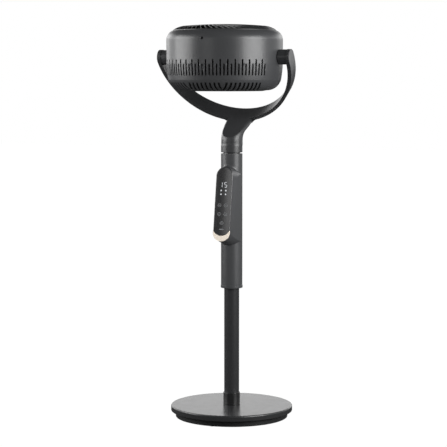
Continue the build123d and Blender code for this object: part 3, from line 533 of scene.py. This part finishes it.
def makeGrille():
    g = Build("domedGrille", grille)
    drop = g.math("MULTIPLY", g.size("Rib Depth"), 0.5)

    def domeHeight(radius):
        # A shallow crown, then an edge that bends down faster
        inward = g.math("MINIMUM", g.math("DIVIDE", radius, g.size("Crown Radius")), 1.0)
        past = g.math("SUBTRACT", radius, g.size("Crown Radius"))
        outward = g.math("MAXIMUM", g.math("DIVIDE", past, g.size("Edge Width")), 0.0)
        crown = g.math("MULTIPLY", g.math("POWER", inward, 2.0), g.size("Crown Drop"))
        slope = g.math("MULTIPLY", outward, g.size("Edge Slope"))
        bend = g.math("MULTIPLY", g.math("POWER", outward, 2.0), g.size("Edge Bend"))
        sag = g.math("ADD", crown, g.math("ADD", slope, bend))
        return g.math("SUBTRACT", g.math("SUBTRACT", g.size("Dome Top"), sag), drop)

    def section(width):
        flat = g.node("GeometryNodeCurvePrimitiveQuadrilateral", {}, {"Width": width, "Height": g.size("Rib Depth")})
        return g.node("GeometryNodeFilletCurve", {"mode": "POLY"}, {
            "Curve": flat.outputs[0], "Count": 3, "Radius": g.math("MULTIPLY", width, g.size("Rounding"))}).outputs[0]

    line = g.node("GeometryNodeCurvePrimitiveLine", {}, {
        "Start": g.vector(g.size("Inner Radius"), 0.0, 0.0),
        "End": g.vector(g.size("Outer Radius"), 0.0, 0.0)}).outputs[0]
    line = g.node("GeometryNodeResampleCurve", {}, {"Curve": line, "Count": g.size("Rib Points")}).outputs[0]
    along = g.node("ShaderNodeSeparateXYZ", {}, {0: g.node("GeometryNodeInputPosition").outputs[0]}).outputs[0]
    span = g.math("SUBTRACT", g.size("Outer Radius"), g.size("Inner Radius"))
    part = g.math("DIVIDE", g.math("SUBTRACT", along, g.size("Inner Radius")), span)
    turn = g.math("MULTIPLY", g.math("POWER", part, g.size("Twist Power")), g.size("Twist"))
    place = g.vector(
        g.math("MULTIPLY", along, g.math("COSINE", turn)),
        g.math("MULTIPLY", along, g.math("SINE", turn)), domeHeight(along))
    line = g.node("GeometryNodeSetPosition", {}, {"Geometry": line, "Position": place}).outputs[0]
    line = g.node("GeometryNodeSetCurveNormal", {"mode": "Z_UP"}, {"Curve": line}).outputs[0]
    rib = g.node("GeometryNodeCurveToMesh", {}, {
        "Curve": line, "Profile Curve": section(g.size("Rib Width")), "Fill Caps": True}).outputs[0]
    points = g.node("GeometryNodePoints", {}, {"Count": g.size("Ribs")}).outputs[0]
    angle = g.math("MULTIPLY", g.math("DIVIDE", g.index(), g.size("Ribs")), 2 * math.pi)
    ribs = g.copies(points, rib, angle)

    def hoop(radius, width):
        circle = g.node("GeometryNodeCurvePrimitiveCircle", {}, {
            "Resolution": g.size("Ring Points"), "Radius": radius}).outputs[0]
        circle = g.node("GeometryNodeSetPosition", {}, {
            "Geometry": circle, "Offset": g.vector(0.0, 0.0, domeHeight(radius))}).outputs[0]
        circle = g.node("GeometryNodeSetCurveNormal", {"mode": "Z_UP"}, {"Curve": circle}).outputs[0]
        return g.node("GeometryNodeCurveToMesh", {}, {
            "Curve": circle, "Profile Curve": section(g.size(width))}).outputs[0]

    rim = hoop(g.math("SUBTRACT", g.size("Outer Radius"), g.size("Rim Inset")), "Rim Width")
    middle = hoop(g.size("Middle Radius"), "Middle Width")
    inner = hoop(g.size("Inner Radius"), "Inner Width")
    piece = g.make("frontGrilleRibs", g.moved(g.joined(ribs, rim, middle, inner), g.size("Centre")))
    smooth(piece, 50)
    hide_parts("front_grille")
    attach(piece, "head")


makeGrille()
print("grille done")


# Screws with cross recesses, under the base and in the rear cover

screw = {"Cross Long": 0.0040, "Cross Wide": 0.0009, "Cross Deep": 0.0026, "Shank Radius": 0.0019, "Uneven Turn": 1.3}
screwPan = [(0, 0), (0.0026, 0), (0.0033, 0.00035), (0.0036, 0.001), (0.0036, 0.002), (0, 0.002)]
screwSets = {
    "base_screws": {
        "piece": "baseScrewHeads", "body": "stand", "Centre": Vector((0.0, 0.0, 0.0025)),
        "Count": 6, "Circle": 0.1, "Start": 0.0, "Step": math.radians(60), "Shank Length": 0.0085,
    },
    "rear_cover_screws": {
        "piece": "rearCoverScrewHeads", "body": "head", "Centre": tiltAxis + Vector((0, 0, -0.061)),
        "Count": 2, "Circle": 0.1285, "Start": math.radians(69.75), "Step": math.radians(40.5), "Shank Length": 0.0200,
    },
}


def makeScrews(node, values):
    pan = meshObject(values["piece"] + "Pan", lambda work: lathe(work, screwPan, 40), None)
    sizes = {key: value for key, value in values.items() if key[0].isupper()}
    g = Build(values["piece"], {**screw, **sizes, "Pan": pan, "Material": finishes["steel"]})
    cut = g.node("GeometryNodeMeshBoolean", {"operation": "DIFFERENCE", "solver": "EXACT"}, {"Mesh 1": g.shape("Pan")})
    for across, along in (("Cross Long", "Cross Wide"), ("Cross Wide", "Cross Long")):
        extent = g.vector(g.size(across), g.size(along), g.size("Cross Deep"))
        bar = g.node("GeometryNodeMeshCube", {}, {"Size": extent}).outputs[0]
        g.tree.links.new(bar, cut.inputs["Mesh 2"])
    shank = g.node("GeometryNodeMeshCylinder", {}, {
        "Vertices": 24, "Radius": g.size("Shank Radius"), "Depth": g.size("Shank Length")}).outputs[0]
    lift = g.math("ADD", g.math("MULTIPLY", g.size("Shank Length"), 0.5), screwPan[-1][1])
    whole = g.joined(cut.outputs["Mesh"], g.moved(shank, g.vector(0.0, 0.0, lift)))
    turn = g.math("ADD", g.size("Start"), g.math("MULTIPLY", g.index(), g.size("Step")))
    spots = g.spots(g.size("Count"), g.size("Circle"), turn)
    row = g.copies(spots, whole, g.math("MULTIPLY", g.index(), g.size("Uneven Turn")))
    piece = g.make(values["piece"], g.moved(row, g.size("Centre")))
    bpy.data.objects.remove(pan)
    smooth(piece, 35)
    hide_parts(node)
    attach(piece, values["body"])


for node, values in screwSets.items():
    makeScrews(node, values)
print("screws done")


# Rubber feet with a gripping groove and a round edge

feet = {"Count": 6, "Circle": 0.122, "Start": math.radians(30), "Material": finishes["foot_rubber"]}
footProfile = [
    (0, 0.0004), (0.0030, 0.0004), (0.0033, 0), (0.0048, 0), (0.0051, 0.0006), (0.0058, 0.0006), (0.0061, 0),
    (0.0083, 0), (0.0088, 0.0002), (0.0090, 0.0007), (0.0090, 0.0030), (0, 0.0030),
]
centreFootProfile = [
    (0, 0.0004), (0.0060, 0.0004), (0.0063, 0), (0.0088, 0), (0.0091, 0.0006), (0.0100, 0.0006), (0.0103, 0),
    (0.0133, 0), (0.0138, 0.0002), (0.0140, 0.0007), (0.0140, 0.0020), (0.0085, 0.0020), (0.0085, 0.0024), (0, 0.0024),
]


def makeFeet():
    pad = meshObject("footPad", lambda work: lathe(work, footProfile, 56), None)
    middle = meshObject("footMiddle", lambda work: lathe(work, centreFootProfile, 72), None)
    g = Build("rubberFeet", {**feet, "Pad": pad, "Middle": middle})
    share = g.math("MULTIPLY", g.math("DIVIDE", g.index(), g.size("Count")), 2 * math.pi)
    spots = g.spots(g.size("Count"), g.size("Circle"), g.math("ADD", g.size("Start"), share))
    piece = g.make("groovedFeet", g.joined(g.copies(spots, g.shape("Pad")), g.shape("Middle")))
    bpy.data.objects.remove(pad)
    bpy.data.objects.remove(middle)
    smooth(piece, 50)
    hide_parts("base_feet")
    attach(piece, "stand")


makeFeet()
print("feet done")


# Camera and light, in the photograph's own directions

photo = {
    "lens": 134.3,
    "sensor": 36.0,
    "turn": 22.0,
    "distance": 4.083,
    "height": 0.8464,
    "pitch": 5.12,
    "yaw": 0.283,
    "farClip": 60,
}


photoTurn = math.radians(photo["turn"])


def makeCamera():
    data = bpy.data.cameras.new("camera")
    data.lens = photo["lens"]
    data.sensor_width = photo["sensor"]
    camera = bpy.data.objects.new("camera", data)
    bpy.context.scene.collection.objects.link(camera)
    across, back = math.sin(photoTurn) * photo["distance"], -math.cos(photoTurn) * photo["distance"]
    camera.location = (across, back, photo["height"])
    heading = math.radians(90 + photo["turn"] + photo["yaw"])
    pitch = math.radians(photo["pitch"])
    look = Vector((math.cos(heading) * math.cos(pitch), math.sin(heading) * math.cos(pitch), -math.sin(pitch)))
    camera.rotation_euler = look.to_track_quat("-Z", "Y").to_euler()
    data.clip_end = photo["farClip"]
    bpy.context.scene.camera = camera


# side is the angle to the right of the camera, seen from the object; size is width and height in metres
lamps = {
    "leftBox": {"side": -88, "distance": 2.2, "height": 1.2, "size": (1.8, 1.3), "power": 50},
    "rightBox": {"side": 56, "distance": 2.2, "height": 1.2, "size": (1.7, 1.3), "power": 68},
    "leftEdge": {"side": -140, "distance": 2.2, "height": 1.2, "size": (1.0, 1.0), "power": 6},
    "rightEdge": {"side": 140, "distance": 2.2, "height": 1.2, "size": (1.0, 1.0), "power": 3},
    "consoleCard": {"side": -32, "distance": 2.2, "height": 1.06, "size": (0.7, 0.5), "power": 2.2},
}


lampAim = Vector((0, 0, 0.75))


def makeLamp(name, values):
    side = math.radians(values["side"])
    toCamera = Vector((math.sin(photoTurn), -math.cos(photoTurn), 0))
    toRight = Vector((math.cos(photoTurn), math.sin(photoTurn), 0))
    place = (toCamera * math.cos(side) + toRight * math.sin(side)) * values["distance"]
    place.z = values["height"]
    data = bpy.data.lights.new(name, "AREA")
    data.shape = "RECTANGLE"
    data.size, data.size_y = values["size"]
    data.energy = values["power"]
    lamp = bpy.data.objects.new(name, data)
    bpy.context.scene.collection.objects.link(lamp)
    lamp.location = place
    lamp.rotation_euler = (lampAim - place).to_track_quat("-Z", "Y").to_euler()


# Glossy rays see a bright band behind the fan, low above the floor; diffuse rays see an even light
surround = {
    "ambient": 0.22,
    "behind": 1.9,
    "before": 0.10,
    "tip": 0.35,
    "sides": (-0.25, 0.75),
    "low": (-0.04, 0.14),
    "high": (0.40, 0.20),
}


def makeWorld():
    world = bpy.data.worlds.new("studio")
    world.cycles.sampling_method = "NONE"
    bpy.context.scene.world = world
    world.use_nodes = True
    world.node_tree.nodes.clear()

    def node(kind, settings, values):
        return addNode(world.node_tree, kind, settings, values)

    def ramp(value, ends, low=0.0, high=1.0):
        return node("ShaderNodeMapRange", {"interpolation_type": "SMOOTHSTEP"}, {
            "Value": value, "From Min": ends[0], "From Max": ends[1], "To Min": low, "To Max": high}).outputs[0]

    def mixed(factor, first, second):
        return node("ShaderNodeMix", {"data_type": "FLOAT"}, {0: factor, 2: first, 3: second}).outputs[0]

    path = node("ShaderNodeLightPath", {}, {})
    direction = node("ShaderNodeTexCoord", {}, {}).outputs["Generated"]
    farSide = (-math.sin(photoTurn), math.cos(photoTurn), surround["tip"])
    away = node("ShaderNodeVectorMath", {"operation": "DOT_PRODUCT"}, {0: direction, 1: farSide}).outputs["Value"]
    height = node("ShaderNodeSeparateXYZ", {}, {0: direction}).outputs["Z"]
    band = node("ShaderNodeMath", {"operation": "MULTIPLY"}, {
        0: ramp(height, surround["low"]), 1: ramp(height, surround["high"])}).outputs[0]
    behind = ramp(away, surround["sides"], surround["before"], surround["behind"])
    glossy = mixed(path.outputs["Is Glossy Ray"], surround["ambient"], mixed(band, surround["before"], behind))
    seen = node("ShaderNodeMath", {"operation": "MAXIMUM"}, {
        0: path.outputs["Is Camera Ray"], 1: path.outputs["Is Transmission Ray"]}).outputs[0]
    light = node("ShaderNodeBackground", {}, {"Color": (1, 1, 1, 1), "Strength": mixed(seen, glossy, 1.0)})
    node("ShaderNodeOutputWorld", {}, {"Surface": light.outputs[0]})


# The camera sees a white floor; reflections see a dull one
floorLook = {"size": 14.0, "color": (0.34, 0.34, 0.34), "whiten": 0.955, "glow": 1.05, "dull": 0.8}


def makeFloor():
    f = Finish("floor")
    path = f.node("ShaderNodeLightPath")
    grain = f.noise(3, 3)
    f.set(Base_Color=f.blend(grain, shade(floorLook["color"], 0.99), floorLook["color"]), Roughness=0.9)
    white = f.node("ShaderNodeEmission", {}, {"Color": (1, 1, 1, 1), "Strength": floorLook["glow"]})
    black = f.node("ShaderNodeEmission", {}, {"Color": (0, 0, 0, 1), "Strength": 0.0})
    seen = Num(f, path.outputs["Is Camera Ray"]) * floorLook["whiten"]
    reflected = Num(f, path.outputs["Is Glossy Ray"]) * floorLook["dull"]
    dulled = f.node("ShaderNodeMixShader", {}, {0: reflected, 1: f.shader.outputs[0], 2: black.outputs[0]})
    mix = f.node("ShaderNodeMixShader", {}, {0: seen, 1: dulled.outputs[0], 2: white.outputs[0]})
    f.tree.links.new(mix.outputs[0], f.output.inputs["Surface"])

    def plane(work):
        bmesh.ops.create_grid(work, x_segments=8, y_segments=8, size=floorLook["size"])

    floor = meshObject("floor", plane, f.material)


makeCamera()
for name, values in lamps.items():
    makeLamp(name, values)
makeWorld()
makeFloor()
bpy.context.scene.view_settings.view_transform = "Standard"
print("camera, lamps and floor done")
